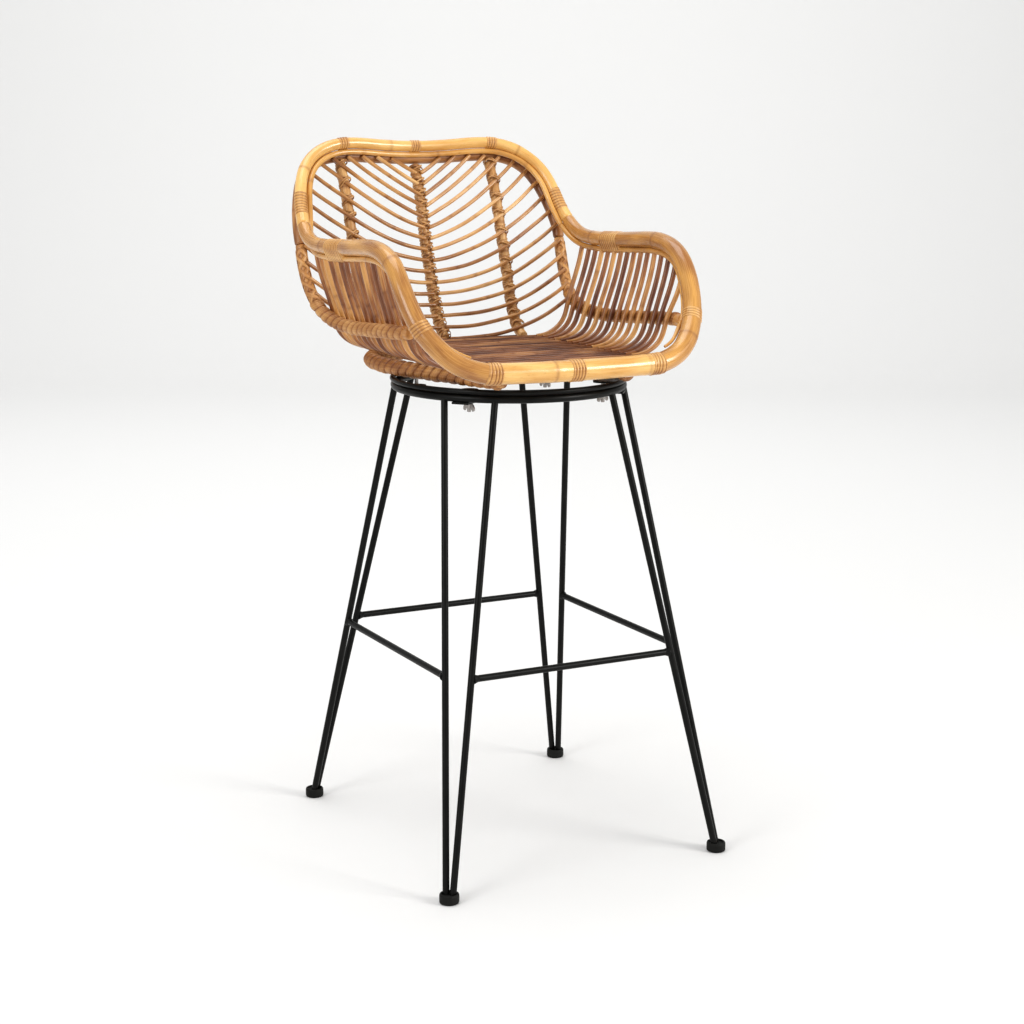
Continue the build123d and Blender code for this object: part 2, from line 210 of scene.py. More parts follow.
# ------------------------------------------------------------------ mesh builder
class Piece:
    """Collects tubes and sleeves of one object, with the grain direction and tone of each."""

    def __init__(self):
        self.verts, self.faces, self.grain, self.tone, self.ring_and_gap_shade = [], [], [], [], []

    def skin(self, base, count, sides):
        """Quads over `count` rings of `sides` vertices from index base on, with a cap at each end."""
        for i in range(count - 1):
            for j in range(sides):
                a, b = base + i * sides + j, base + i * sides + (j + 1) % sides
                self.faces.append((a, b, b + sides, a + sides))
        self.faces.append(tuple(base + j for j in reversed(range(sides))))
        self.faces.append(tuple(base + (count - 1) * sides + j for j in range(sides)))

    def rings(self, curve, offsets, tone, ring_and_gap_shade, grain_r):
        """A skin over rings: offsets is (points, sides, 2), measured along each point's side and up."""
        count, sides = offsets.shape[:2]
        _, side, up = frames_of(curve)
        base = len(self.verts)
        s = length_along(curve)
        shift = rng.uniform(0, 9)
        angle = np.linspace(0, 2 * math.pi, sides, endpoint=False)
        across, down = grain_r * np.cos(angle) * MM + shift, grain_r * np.sin(angle) * MM
        for i in range(count):
            for j in range(sides):
                a, b = offsets[i, j]
                self.verts.append(tuple(curve[i] + side[i] * a + up[i] * b))
                self.grain.append((across[j], down[j], s[i] * MM + shift))
                self.tone.append(tone)
                self.ring_and_gap_shade.append(float(ring_and_gap_shade[i]))
        self.skin(base, count, sides)

    def pole(self, curve, radius, sides=20, tone=None, nodes=0.0, wobble=0.0, round_end=True):
        """A round stem with soft ends, swellings at its growth rings and slight unevenness.

        radius is a number, or shares of the length and the radii there; nodes is the rings' mean distance.
        """
        curve = arr(curve)
        s = length_along(curve)
        total = s[-1]
        if np.isscalar(radius):
            radii = np.full(len(curve), float(radius))
        else:
            radii = np.interp(s / total, *radius)
        ring_and_gap_shade = np.zeros(len(curve))
        tone = rng.uniform(-1, 1) if tone is None else tone
        if nodes:
            at = rng.uniform(0.3, 0.9) * nodes
            while at < total - 10:
                near = np.exp(-(((s - at) / 2.6) ** 2))
                wide = np.exp(-(((s - at) / 9.0) ** 2))
                ring_and_gap_shade = np.maximum(ring_and_gap_shade, near)
                radii = radii * (1 + 0.035 * wide - 0.02 * near)
                at += nodes * rng.uniform(0.8, 1.25)
        if wobble:
            phase = [rng.uniform(0, 6.3) for _ in range(4)]
            _, side, up = frames_of(curve)
            fade = np.minimum(1, np.minimum(s, total - s) / 25.0)
            drift = wobble * fade * (np.sin(s / 31.0 + phase[0]) + 0.6 * np.sin(s / 13.0 + phase[1]))
            lift = wobble * fade * (np.sin(s / 27.0 + phase[2]) + 0.6 * np.sin(s / 15.0 + phase[3]))
            curve = curve + side * drift[:, None] + up * lift[:, None]
            radii = radii * (1 + 0.02 * np.sin(s / 19.0 + phase[1]))
        if round_end:
            e = min(radii[0] * 0.35, total * 0.2)
            lead = np.array([0, 0.12 * e, 0.5 * e, e])
            take = np.concatenate([lead, s[(s > e * 1.3) & (s < total - e * 1.3)], total - lead[::-1]])
            curve = np.stack([np.interp(take, s, curve[:, i]) for i in range(3)], axis=1)
            radii, ring_and_gap_shade = np.interp(take, s, radii), np.interp(take, s, ring_and_gap_shade)
            pull = np.ones(len(take))
            pull[:3] = pull[-1:-4:-1] = (0.72, 0.86, 0.97)
            radii = radii * pull
        angle = np.linspace(0, 2 * math.pi, sides, endpoint=False)
        shape = np.stack([np.cos(angle), np.sin(angle)], axis=1)
        self.rings(curve, radii[:, None, None] * shape[None], tone, ring_and_gap_shade, float(np.mean(radii)))

    def sleeve(self, curve, outline, pitch, lift, gap, sides=32, wave=0.0, strands=1):
        """Peel wound round a bundle: outline(angle) is the bundle's reach, and each turn is a crowned band.

        gap is the share of a turn between two bands, and strands is how many lie side by side in one.
        """
        curve = resample(arr(curve), pitch / (9 if strands == 1 else 8 * strands))
        s = length_along(curve)
        angle = np.linspace(0, 2 * math.pi, sides, endpoint=False)
        reach = np.array([outline(a) for a in angle])
        tone = rng.uniform(-1, 1)
        phase = s[:, None] / pitch + angle[None] / (2 * math.pi) + wave * np.sin(2 * angle)[None]
        turn = np.floor(phase)
        f = phase - turn
        crown = np.clip(np.sin(np.pi * np.clip(f / (1 - gap), 0, 1)), 0, 1) ** 0.42
        crown[f > 1 - gap] = 0
        if strands > 1:
            part = np.clip(f / (1 - gap), 0, 1) * strands
            groove = abs(np.sin(np.pi * part)) ** 0.5
            crown = crown * (0.45 + 0.55 * groove)
        uneven = 0.82 + 0.18 * np.sin(turn * 12.9898 + 1.7) * np.cos(turn * 4.1)
        edge = np.minimum(1, np.minimum(s, s[-1] - s) / 1.2)[:, None]
        radii = reach[None] + (lift * crown * uneven - 0.12) * edge - 0.5 * (1 - edge)
        offsets = np.stack([radii * np.cos(angle)[None], radii * np.sin(angle)[None]], axis=2)
        base = len(self.verts)
        self.rings(curve, offsets, tone, np.zeros(len(curve)), float(np.mean(reach)))
        # painted shade: this darkens the colour in the gaps between turns and the grooves between strands
        flat = (1 - crown) * edge
        self.ring_and_gap_shade[base:] = flat.reshape(-1).tolist()

    def strap(self, centre, normal, front, radius, cane_at, lean, start, tone):
        """One closed loop of flat peel round a stem, rising over the cane that crosses in front of it.

        It leans across the stem by `lean` and starts that many mm up the stem from the cane.
        """
        normal, front = arr(normal), arr(front)
        normal /= np.linalg.norm(normal)
        front = front - normal * (front @ normal)
        front /= np.linalg.norm(front)
        across = np.cross(normal, front)
        turn = np.linspace(0, 2 * math.pi, 40, endpoint=False)
        c, d = np.cos(turn), np.sin(turn)
        climb = lean * radius * d + start
        reach = np.full(len(turn), radius + 0.5 * STRAP_THICK)
        off_cane = abs(climb) - CANE_R - 0.4
        over = np.clip(1 - off_cane / 2.2, 0, 1) * (c > 0.05)
        reach = reach + over * (cane_at + CANE_R - radius) * np.clip(c, 0, 1) ** 1.4
        reach = (np.roll(reach, 1) + 2 * reach + np.roll(reach, -1)) / 4
        curve = arr(centre) + np.outer(c * reach, front) + np.outer(d * reach, across)
        curve = curve + np.outer(climb, normal)
        tangent = np.roll(curve, -1, 0) - np.roll(curve, 1, 0)
        tangent /= np.linalg.norm(tangent, axis=1)[:, None]
        out = np.outer(c, front) + np.outer(d, across)
        out -= tangent * np.sum(out * tangent, axis=1)[:, None]
        out /= np.linalg.norm(out, axis=1)[:, None]
        self.ribbon(curve, out, np.cross(tangent, out), STRAP_WIDTH, STRAP_THICK, tone, closed=True)

    def helix(self, curve, radius, pitch, hand, width, thick, tone, phase):
        """A flat strand of peel wound in an open spiral round a stem."""
        s = length_along(curve)
        want = np.linspace(0, s[-1], max(12, int(s[-1] / pitch * 22)))
        mid = np.stack([np.interp(want, s, curve[:, i]) for i in range(3)], axis=1)
        _, side, up = frames_of(mid)
        angle = hand * 2 * math.pi * want / pitch + phase
        out = side * np.cos(angle)[:, None] + up * np.sin(angle)[:, None]
        line = mid + out * (radius + thick * 0.5)
        tangent = np.gradient(line, axis=0)
        tangent /= np.linalg.norm(tangent, axis=1)[:, None]
        self.ribbon(line, out, np.cross(tangent, out), width, thick, tone)

    def ribbon(self, curve, out, wide, width, thick, tone, closed=False):
        """A flat strand with rounded edges: out is its thickness's direction, and wide its width's."""
        base = len(self.verts)
        section = [(-0.5, -0.35), (-0.4, 0.3), (0, 0.58), (0.4, 0.3), (0.5, -0.35), (0, -0.6)]
        s = length_along(curve)
        shift = rng.uniform(0, 9)
        for i in range(len(curve)):
            for u, v in section:
                self.verts.append(tuple(curve[i] + wide[i] * u * width + out[i] * v * thick))
                self.grain.append((u * width * MM + shift, v * thick * MM, s[i] * MM + shift))
                self.tone.append(tone)
                # painted shade: the colour darkens along both edges of the strand, where it meets the stem
                self.ring_and_gap_shade.append(max(0.0, abs(u) - 0.25) * 2.4)
        k = len(section)
        if not closed:
            self.skin(base, len(curve), k)
            return
        for i in range(len(curve)):
            here, after = base + i * k, base + (i + 1) % len(curve) * k
            for j in range(k):
                m = (j + 1) % k
                self.faces.append((here + j, here + m, after + m, after + j))

    def lathe(self, centre, profile, sides=48):
        """A turned form about the vertical through centre; the profile is (radius, height), axis to axis."""
        base = len(self.verts)
        for r, z in profile:
            for j in range(sides):
                a = 2 * math.pi * j / sides
                x, y = r * math.cos(a), r * math.sin(a)
                self.verts.append((centre[0] + x, centre[1] + y, centre[2] + z))
                self.grain.append((x * MM, y * MM, z * MM))
                self.tone.append(0.0)
                self.ring_and_gap_shade.append(0.0)
        self.skin(base, len(profile), sides)

    def build(self, name, material, nodes=()):
        """The object on the stool's body, in place of the CAD nodes named."""
        mesh = bpy.data.meshes.new(name)
        points = arr(self.verts) + (0, FOOT_CENTRE_Y, 0)
        mesh.from_pydata((points * MM).tolist(), [], self.faces)
        for label, kind, values in (
            ("grain", "FLOAT_VECTOR", arr(self.grain).reshape(-1)),
            ("tone", "FLOAT", arr(self.tone)),
            ("ring_and_gap_shade", "FLOAT", arr(self.ring_and_gap_shade)),
        ):
            layer = mesh.attributes.new(label, kind, "POINT")
            layer.data.foreach_set("vector" if kind == "FLOAT_VECTOR" else "value", values)
        mesh.polygons.foreach_set("use_smooth", [True] * len(mesh.polygons))
        mesh.materials.append(material)
        mesh.update()
        obj = bpy.data.objects.new(name, mesh)
        bpy.context.scene.collection.objects.link(obj)
        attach(obj, "stool")
        if nodes:
            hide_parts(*nodes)
        return obj


# ------------------------------------------------------------------ materials
def new_material(name):
    material = bpy.data.materials.new(name)
    material.use_nodes = True
    tree = material.node_tree
    return material, tree, tree.nodes["Principled BSDF"]


def link(tree, a, out, b, into):
    tree.links.new(a.outputs[out], b.inputs[into])


def set_ramp(ramp, *stops):
    """Colours at positions along a ramp that starts with two elements."""
    elements = ramp.color_ramp.elements
    for i, (position, colour) in enumerate(stops):
        element = elements[i] if i < 2 else elements.new(position)
        element.position = position
        element.color = (*colour, 1)


def rattan(name, dark, mid, light, roughness, coat, streak=1.0, ring_and_gap_shade_dark=0.55, tone_share=0.17, cloudy=1.5):
    """Varnished rattan: long fine streaks, cloudy colour, dark growth rings, painted shade in the winding
    gaps, a slight bump.

    The argument after streak sets how dark the growth rings and the painted shade in the gaps are,
    tone_share how much the stems differ, and cloudy how much one stem varies along its length.
    """
    material, tree, shader = new_material(name)
    new = tree.nodes.new

    def attribute(label):
        node = new("ShaderNodeAttribute")
        node.attribute_name = label
        return node

    grain, tone, ring_and_gap_shade = attribute("grain"), attribute("tone"), attribute("ring_and_gap_shade")

    def grain_noise(stretch, detail, rough=0.5):
        """Noise along the grain, with its frequency across, across and along the stem."""
        scaled = new("ShaderNodeVectorMath")
        scaled.operation = "MULTIPLY"
        scaled.inputs[1].default_value = stretch
        link(tree, grain, "Vector", scaled, 0)
        noise = new("ShaderNodeTexNoise")
        noise.inputs["Scale"].default_value = 1.0
        noise.inputs["Detail"].default_value = detail
        noise.inputs["Roughness"].default_value = rough
        link(tree, scaled, "Vector", noise, "Vector")
        return noise

    fine = grain_noise((900, 900, 22), 5.0, 0.65)
    cloud = grain_noise((60, 60, 14), 3.0)
    spots = grain_noise((420, 420, 160), 2.0)

    def maths(operation, a, b=None, clamp=False):
        node = new("ShaderNodeMath")
        node.operation = operation
        node.use_clamp = clamp
        for i, value in enumerate((a, b)):
            if value is None:
                continue
            if isinstance(value, (int, float)):
                node.inputs[i].default_value = value
            else:
                tree.links.new(value, node.inputs[i])
        return node.outputs[0]

    toned = maths("MULTIPLY", tone.outputs["Fac"], tone_share)
    clouded = maths("MULTIPLY", maths("SUBTRACT", cloud.outputs["Fac"], 0.5), cloudy)
    streaked = maths("MULTIPLY", maths("SUBTRACT", fine.outputs["Fac"], 0.5), 1.1 * streak)
    where = maths("ADD", maths("ADD", maths("ADD", 0.5, toned), clouded), streaked, clamp=True)
    ramp = new("ShaderNodeValToRGB")
    set_ramp(ramp, (0.12, dark), (0.88, light), (0.5, mid))
    tree.links.new(where, ramp.inputs["Fac"])
    stain_and_gap_shade = new("ShaderNodeMix")
    stain_and_gap_shade.data_type = "RGBA"
    stain_and_gap_shade.blend_type = "MULTIPLY"
    stain_and_gap_shade.inputs[7].default_value = (0.42, 0.27, 0.17, 1)
    speck = maths("MULTIPLY", maths("SUBTRACT", spots.outputs["Fac"], 0.62, clamp=True), 2.2, clamp=True)
    # specks and growth rings are the cane's own marks; the gaps and strand edges in the same layer are
    # painted shade
    ring_and_gap_shade_amount = maths("MULTIPLY", ring_and_gap_shade.outputs["Fac"], ring_and_gap_shade_dark)
    tree.links.new(maths("ADD", speck, ring_and_gap_shade_amount, clamp=True), stain_and_gap_shade.inputs["Factor"])
    tree.links.new(ramp.outputs["Color"], stain_and_gap_shade.inputs[6])
    tree.links.new(stain_and_gap_shade.outputs[2], shader.inputs["Base Color"])
    rough = maths("ADD", maths("MULTIPLY", fine.outputs["Fac"], 0.22), roughness - 0.11)
    rough = maths("ADD", rough, maths("MULTIPLY", ring_and_gap_shade_amount, 0.3), clamp=True)
    tree.links.new(rough, shader.inputs["Roughness"])
    height = maths("ADD", fine.outputs["Fac"], maths("MULTIPLY", spots.outputs["Fac"], 0.5))
    bumped = new("ShaderNodeBump")
    bumped.inputs["Strength"].default_value = 0.25
    bumped.inputs["Distance"].default_value = 0.0004
    tree.links.new(height, bumped.inputs["Height"])
    link(tree, bumped, "Normal", shader, "Normal")
    shader.inputs["Coat Weight"].default_value = coat
    shader.inputs["Coat Roughness"].default_value = 0.14
    shader.inputs["IOR"].default_value = 1.5
    return material


def coated_metal(name, colour, speckle, metallic, roughness, bump, scale, specular=0.5):
    """Powder coat, plating or rubber: fine orange peel, cloudy roughness and faint scuffs."""
    material, tree, shader = new_material(name)
    new = tree.nodes.new
    coords = new("ShaderNodeTexCoord")
    noise = new("ShaderNodeTexNoise")
    noise.inputs["Scale"].default_value = scale
    noise.inputs["Detail"].default_value = 4.0
    link(tree, coords, "Object", noise, "Vector")
    cloud = new("ShaderNodeTexNoise")
    cloud.inputs["Scale"].default_value = 26.0
    cloud.inputs["Detail"].default_value = 5.0
    link(tree, coords, "Object", cloud, "Vector")
    ramp = new("ShaderNodeValToRGB")
    set_ramp(ramp, (0.35, colour), (0.75, speckle))
    link(tree, cloud, "Fac", ramp, "Fac")
    link(tree, ramp, "Color", shader, "Base Color")
    spread = new("ShaderNodeMapRange")
    spread.inputs["To Min"].default_value = roughness - 0.09
    spread.inputs["To Max"].default_value = roughness + 0.12
    link(tree, cloud, "Fac", spread, "Value")
    link(tree, spread, "Result", shader, "Roughness")
    bumped = new("ShaderNodeBump")
    bumped.inputs["Strength"].default_value = bump
    bumped.inputs["Distance"].default_value = 0.0002
    link(tree, noise, "Fac", bumped, "Height")
    link(tree, bumped, "Normal", shader, "Normal")
    shader.inputs["Metallic"].default_value = metallic
    shader.inputs["Specular IOR Level"].default_value = specular
    return material


POLE = rattan(
    "rattan_pole", (0.36, 0.155, 0.042), (0.66, 0.345, 0.09), (0.86, 0.55, 0.2), 0.27, 0.5,
    streak=0.4, tone_share=0.26, cloudy=1.0,
)
FRAME = rattan(
    "rattan_frame", (0.13, 0.045, 0.014), (0.28, 0.115, 0.036), (0.50, 0.25, 0.09), 0.42, 0.15,
)
RIB = rattan(
    "rattan_rib", (0.32, 0.135, 0.042), (0.54, 0.285, 0.1), (0.76, 0.48, 0.21), 0.4, 0.2,
    ring_and_gap_shade_dark=0.8,
)
CANE_LIGHT = rattan(
    "rattan_cane_back", (0.30, 0.125, 0.038), (0.55, 0.285, 0.1), (0.78, 0.5, 0.22), 0.34, 0.3,
)
# The side panels' canes: a darker copy of the back canes' colour, painted shade for the insides of the arms.
CANE_SIDE_SHADED = rattan(
    "rattan_cane_side_shaded", (0.12, 0.035, 0.012), (0.29, 0.11, 0.034), (0.62, 0.33, 0.11), 0.34, 0.3,
    tone_share=0.3,
)
# The seat's canes: the darkest copy of the cane colour, painted shade for the seat's floor under the rim.
CANE_SEAT_SHADED = rattan(
    "rattan_cane_seat_shaded", (0.08, 0.022, 0.008), (0.2, 0.072, 0.024), (0.42, 0.2, 0.075), 0.4, 0.2,
    tone_share=0.22,
)
# Peel and lashing: the strong darkening in their winding gaps and strand edges is painted shade.
PEEL = rattan(
    "rattan_peel", (0.42, 0.19, 0.055), (0.62, 0.33, 0.105), (0.8, 0.5, 0.2), 0.36, 0.2,
    ring_and_gap_shade_dark=0.95,
)
LASHING = rattan(
    "rattan_lashing", (0.30, 0.12, 0.036), (0.52, 0.255, 0.083), (0.72, 0.42, 0.165), 0.4, 0.15,
    ring_and_gap_shade_dark=0.98,
)
BLACK = coated_metal(
    "black_powder_coat", (0.004, 0.004, 0.0035), (0.009, 0.009, 0.008), 0.0, 0.36, 0.35, 1400,
    specular=0.2,
)
RUBBER = coated_metal(
    "foot_rubber", (0.007, 0.007, 0.006), (0.016, 0.016, 0.014), 0.0, 0.62, 0.5, 900,
    specular=0.25,
)
ZINC = coated_metal("zinc_plate", (0.36, 0.33, 0.31), (0.55, 0.52, 0.5), 1.0, 0.42, 0.3, 700)

# ------------------------------------------------------------------ rim
rim_points = arr([point for point, _ in RIM])


def make_pole(name, node, curve, radius, material, slot, **options):
    piece = Piece()
    piece.pole(curve, radius, **options)
    return piece.build(name, material, [node])


back_half = rim_points[: SHOULDER + 1]
arm_half = rim_points[SHOULDER : CORNER + 1]
back_curve = smooth(mirrored(back_half))
back_radii = ((0, 0.12, 0.5, 0.88, 1), (10.2, 9.3, 8.8, 9.3, 10.2))
make_pole("rim_back", "rim_back_pole", back_curve, back_radii, POLE, "rattan_pole",
          sides=28, nodes=210, tone=0.9)
front_curve = smooth([flip(rim_points[CORNER], -1), FRONT_MID, rim_points[CORNER]])
make_pole("rim_front", "rim_front_pole", front_curve, RIM_FRONT_R, POLE, "rattan_pole",
          sides=32, nodes=190, tone=0.75)
strip_back_half = arr([inward(i, rim_radius(i) + STRIP_R + GAP) for i in range(SHOULDER + 1)])
strip_arm_half = arr([inward(i, rim_radius(i) + STRIP_R + 2 * GAP) for i in range(SHOULDER, CORNER)])
strip_back_curve = smooth(mirrored(strip_back_half))
make_pole("strip_back", "inner_strip_back", strip_back_curve, STRIP_R, POLE, "rattan_pole",
          sides=16, nodes=160, tone=0.1)
arm_curves = {name: smooth(flip(arm_half, side)) for name, side in SIDES.items()}
arm_radii = ((0, 0.05, 1), (RIM_SHOULDER_R, RIM_SHOULDER_R + 0.3, RIM_FRONT_R))
strip_arm_radii = ((0, 0.75, 1), (STRIP_R, STRIP_R, 2.2))
for name, side in SIDES.items():
    make_pole(f"rim_arm_{name}", f"rim_arm_pole_{name}", arm_curves[name], arm_radii, POLE, "rattan_pole",
              sides=32, nodes=230, tone=-0.75)
    make_pole(f"strip_arm_{name}", f"inner_strip_arm_{name}", smooth(flip(strip_arm_half, side)),
              strip_arm_radii, POLE, "rattan_pole", sides=16, nodes=150, tone=-0.2)

# ------------------------------------------------------------------ frame poles, ribs and their lashings
make_pole("frame_back", "back_frame_pole", smooth(mirrored(BACK_POLE)), BACK_POLE_R, FRAME,
          "rattan_frame", sides=20, nodes=170, tone=0.2)


def round_outline(radius):
    return lambda angle: radius


def wound_rail(name, node, points, radius, pitch, lift, start, end):
    """A pole with a thick four-strand lashing, and crossed flat peel on its bare first stretch.

    start and end are the bare lengths, and lift is how thick the lashing lies on the pole.
    """
    curve = smooth(points, 3.0)
    core = radius - lift
    piece = Piece()
    piece.pole(curve, core, sides=20, nodes=170)
    s = length_along(curve)
    inside = curve[(s >= start) & (s <= s[-1] - end)]
    piece.sleeve(inside, round_outline(core), pitch, lift, gap=0.08, sides=36, wave=0.12, strands=4)
    if start > 30:
        bare = curve[(s >= 6) & (s <= start + 6)]
        for hand in (1, -1):
            for phase in (0.0, 2.1, 4.2):
                piece.helix(bare, core, 62, hand, 7.5, 1.1, phase=phase, tone=rng.uniform(-0.5, 0.9))
    return piece.build(name, LASHING, [node])


for name, side in SIDES.items():
    wound_rail(f"side_rail_wound_{name}", f"side_rail_{name}", flip(SIDE_RAIL, side), SIDE_RAIL_R,
               pitch=PITCH_Y, lift=3.2, start=96, end=9)
base_line = np.vstack([flip(BASE_RAIL[:-1], -1), arr(BASE_RAIL[::-1])])
wound_rail("base_rail_wound", "base_rail", base_line, BASE_RAIL_R, pitch=18.0, lift=3.4, start=6, end=6)

in_front = RIB_R + CANE_R + GAP
end_line = smooth([(46, 343, 1036), *BACK_POLE[2:], *SIDE_RAIL[1:4]], 1.0)
end_length = length_along(end_line)


def back_cane(i):
    """A cane from the centre rib, in front of the side rib, up to the outer frame; the lower ones sag."""
    share = i / (BACK_CANES - 1)
    z = BACK_CANE_TOP_Z - BACK_CANE_PITCH * i
    tip = arr([np.interp(share * end_length[-1], end_length, end_line[:, k]) for k in range(3)])
    start = arr((CANE_R + 0.8, along(CENTRE_RIB, z, 2, 1) - in_front, z))
    end = arr((tip[0] - 2, tip[1] - BACK_POLE_R - CANE_R + 0.6, tip[2]))
    sag = 1.1 + 1.9 * share**2
    crossing = (RIB_X - start[0]) / (end[0] - start[0])
    steps = (0, 0.5 * crossing, crossing, 0.5 + 0.5 * crossing, 1) if crossing < 0.87 else (0, 0.5, 1)
    points = []
    for u in steps:
        x, y, cane_z = start + (end - start) * (u, 0, u**sag)
        centre_y, side_y = (along(line, cane_z, 2, 1) for line in (CENTRE_RIB, SIDE_RIB))
        y = centre_y + (side_y - centre_y) * (x / RIB_X) ** 2 - in_front
        if u > crossing:
            y = points[-1][1] * 0.58 + end[1] * 0.42
        points.append((x, y, cane_z))
    points[-1] = tuple(end)
    return points


def side_cane(i):
    """A cane from the arm's inner strip, down past the inside of the side rail, and in to the seat."""
    y = FIRST_Y - PITCH_Y * i
    run = strip_arm_half[1:-3]
    top_x, top_z = along(run, y, 1, 0), along(run, y, 1, 2)
    rail_x, rail_z = along(SIDE_RAIL, y, 1, 0), along(SIDE_RAIL, y, 1, 2)
    inner_x = rail_x - SIDE_RAIL_R - CANE_R - GAP
    halfway = ((top_x + inner_x) / 2 + 2, y, (top_z + rail_z) / 2)
    points = [(top_x, y, top_z - 2), halfway, (inner_x, y, rail_z)]
    reach, fall = inner_x - FLOOR_X, rail_z - FLOOR_Z - 1
    for degrees in (35, 65, 90):
        turn = math.radians(degrees)
        points.append((inner_x - reach * (1 - math.cos(turn)), y, rail_z - fall * math.sin(turn)))
    return points


for name, side in SIDES.items():
    canes = Piece()
    for i in range(BACK_CANES):
        tone = rng.uniform(-1, 1) - 1.5 * i / BACK_CANES  # painted shade: the lower canes are darker
        path = smooth(flip(back_cane(i), side), 5)
        canes.pole(path, CANE_R, sides=12, tone=tone, nodes=130, wobble=0.35)
    canes.build(f"canes_back_{name}", CANE_LIGHT, [f"back_canes_{name}"])
    panel = Piece()
    for i in range(SIDE_CANES):
        panel.pole(smooth(flip(side_cane(i), side), 4), PANEL_CANE_R, sides=12, nodes=120, wobble=0.25)
    panel.build(f"canes_side_{name}", CANE_SIDE_SHADED, [f"side_canes_{name}"])

floor = Piece()
side_rows = [(FIRST_Y - PITCH_Y * i, FLOOR_X, False) for i in range(SIDE_CANES)]
for y, reach, free in side_rows + [(y, reach, True) for y, reach in EDGE_CANES]:
    path = smooth([(-reach, y, FLOOR_Z), (reach, y, FLOOR_Z)], 6)
    floor.pole(path, CANE_R, sides=12, nodes=120, round_end=free)
floor.build("canes_seat", CANE_SEAT_SHADED, ["seat_canes"])

bar_z = FLOOR_Z - CANE_R - FLOOR_BAR_R - GAP
for name, x, front_y, back_y in FLOOR_BARS:
    make_pole(f"bar_{name}", f"floor_bar_{name}", smooth([(x, front_y, bar_z), (x, back_y, bar_z)], 6),
              FLOOR_BAR_R, FRAME, "rattan_frame", sides=18, nodes=180)


def rib(name, node, points, joints, leans):
    """An upright of pale peeled cane, lashed to each cane that crosses it at a height in joints.

    leans holds the lean of each strand of peel across the rib, and its height above the cane.
    """
    curve = smooth(points, 3.0)
    piece = Piece()
    piece.pole(curve, RIB_R, sides=24, nodes=60, tone=0.5)
    tangent, _, _ = frames_of(curve)
    for z in joints:
        k = int(np.argmin(abs(curve[:, 2] - z)))
        for lean, start in leans:
            piece.strap(curve[k], tangent[k], (0, -1, 0), RIB_R, RIB_R + CANE_R, lean, start,
                        tone=rng.uniform(-0.9, 0.8))
    return piece.build(name, RIB, [node])


joint_zs = [back_cane(i)[0][2] + 3 for i in range(BACK_CANES)]
rib("rib_middle", "rib_centre", CENTRE_RIB, joint_zs,
    ((0.75, 0.0), (-0.75, 0.0), (0.15, -5.2), (0.15, 5.6)))
for name, side in SIDES.items():
    crossings = []
    for i in range(BACK_CANES):
        path = smooth(back_cane(i), 2.0)
        if path[-1][0] > RIB_X + 8:
            crossings.append(float(path[int(np.argmin(abs(path[:, 0] - RIB_X)))][2]))
    rib(f"rib_side_{name}", f"rib_{name}", flip(SIDE_RIB, side), crossings,
        ((-0.9 * side, 1.0), (-0.9 * side, -2.4), (0.5 * side, -5.5)))


# ------------------------------------------------------------------ bindings on the rim
def piece_of(curve, centre, length):
    """The stretch of a curve of the given length about the point nearest to centre."""
    s = length_along(curve)
    at = s[int(np.argmin(np.linalg.norm(curve - arr(centre), axis=1)))]
    want = np.linspace(max(0, at - length / 2), min(s[-1], at + length / 2), 24)
    return np.stack([np.interp(want, s, curve[:, i]) for i in range(3)], axis=1)


full_front = np.vstack([arm_curves["left"][-20:], front_curve[1:-1], arm_curves["right"][-20:][::-1]])
bands = Piece()


def band(curve, centre, length, radius, pitch, lift):
    bands.sleeve(piece_of(curve, centre, length), round_outline(radius), pitch, lift, gap=0.1)


band(back_curve, rim_points[0], 18, 9.1, 4.4, 1.1)
for name, side in SIDES.items():
    band(back_curve, flip(rim_points[BACK_BAND], side), 18, 9.3, 4.4, 1.1)
    band(arm_curves[name], flip(rim_points[ARM_BAND], side), 20, 14.2, 4.6, 1.3)
    band(full_front, (side * 133, -207.2, 749.6), 22, 15.5, 4.8, 1.3)
band(full_front, FRONT_MID, 22, 15.5, 4.8, 1.3)
bands.build("bands", PEEL, ["rim_bands"])

wraps = Piece()
for side in SIDES.values():
    stretch = piece_of(back_curve, flip(rim_points[SHOULDER_WRAP], side), 40)
    wraps.sleeve(stretch, round_outline(10.1), 5.2, 0.7, gap=0.08)
wraps.build("wraps_shoulder", PEEL, ["shoulder_wraps"])


def two_pole_outline(r_top, r_low, drop, centre_drop, up_sign):
    """Reach of a belt round two stems, one `drop` below the other, about a centre between them."""
    def reach(angle):
        direction = arr((math.cos(angle), math.sin(angle) * up_sign))
        circles = ((arr((0.0, centre_drop)), r_top), (arr((0.0, centre_drop - drop)), r_low))
        best = 0.0
        for share in np.linspace(0, 1, 13):
            c = circles[0][0] * (1 - share) + circles[1][0] * share
            r = circles[0][1] * (1 - share) + circles[1][1] * share
            along_it = direction @ c
            under = r * r - (c @ c - along_it**2)
            if under > 0:
                best = max(best, along_it + math.sqrt(under))
        return best
    return reach


for name, side in SIDES.items():
    rim_r = rim_radius(ARM_BINDING)
    rim_at, strip_at = rim_points[ARM_BINDING], inward(ARM_BINDING, rim_r + STRIP_R + 2 * GAP)
    drop = float(np.linalg.norm(rim_at - strip_at))
    stretch = piece_of(arm_curves[name], flip(rim_at, side), 56) - arr((0, 0, BELT_DROP))
    _, _, up_axis = frames_of(resample(stretch, 1))
    sign = 1 if up_axis[0][2] > 0 else -1
    belt = Piece()
    outline = two_pole_outline(rim_r + 0.2, STRIP_R + 0.2, drop, BELT_DROP, sign)
    belt.sleeve(stretch, outline, 6.2, 1.3, gap=0.1, sides=44)
    belt.build(f"binding_{name}", PEEL, [f"arm_binding_{name}"])

